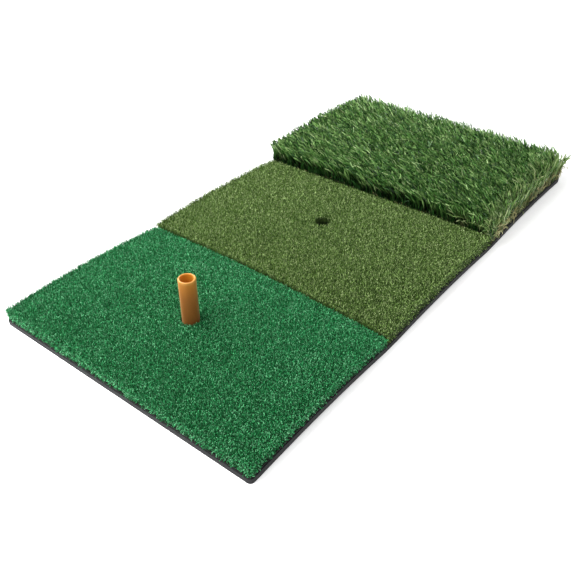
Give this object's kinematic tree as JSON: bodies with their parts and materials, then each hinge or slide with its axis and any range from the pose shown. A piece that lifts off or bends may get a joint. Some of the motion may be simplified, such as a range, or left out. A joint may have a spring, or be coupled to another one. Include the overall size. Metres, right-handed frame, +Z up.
{
  "type": "golf hitting mat",
  "caption": "Folding golf practice mat with short, medium and long turf panels on a rubber base, and a hollow rubber tee that pushes in from below.",
  "frame": {"origin": "middle of the mat's footprint, on the ground", "axes": "+X along the mat from the tee end to the rough end, +Y across it, +Z up"},
  "size_m": [0.61, 0.305, 0.064],
  "materials": {
    "base_rubber": "matte charcoal foam rubber",
    "crease_rubber": "matte black rubber",
    "glue": "dull black hot-melt film",
    "turf_backing": "woven, latex coated",
    "tee_turf_yarn": "short curled emerald yarn",
    "fairway_turf_yarn": "curled olive yarn",
    "thatch_yarn": "curled straw and olive yarn",
    "rough_blade_yarn": "long flat blades with a light gloss",
    "tee_rubber": "smooth amber rubber, satin"
  },
  "bodies": {
    "fairway_panel": {"rubber_base_fairway": "base_rubber", "crease_strip_tee": "crease_rubber", "crease_strip_rough": "crease_rubber", "glue_film_fairway": "glue", "turf_backing_fairway": "turf_backing", "fairway_turf_pile": "fairway_turf_yarn"},
    "tee_panel": {"rubber_base_tee": "base_rubber", "glue_film_tee": "glue", "turf_backing_tee": "turf_backing", "tee_turf_pile": "tee_turf_yarn"},
    "rough_panel": {"rubber_base_rough": "base_rubber", "glue_film_rough": "glue", "turf_backing_rough": "turf_backing", "rough_thatch": "thatch_yarn", "rough_blades": "rough_blade_yarn"},
    "tee": {"tee_tube": "tee_rubber", "tee_flange": "tee_rubber"}
  },
  "joints": [
    {"name": "tee_fold", "type": "hinge", "parent": "fairway_panel", "child": "tee_panel", "pos_m": [-0.11, 0, 0], "axis": [0, -1, 0], "range_deg": [0, 90], "deforming": ["crease_strip_tee"]},
    {"name": "rough_fold", "type": "hinge", "parent": "fairway_panel", "child": "rough_panel", "pos_m": [0.099, 0, 0], "axis": [0, 1, 0], "range_deg": [0, 175], "deforming": ["crease_strip_rough"]},
    {"name": "tee_slide", "type": "slide", "parent": "tee_panel", "child": "tee", "axis": [0, 0, -1], "range_m": [0, 0.062]}
  ]
}
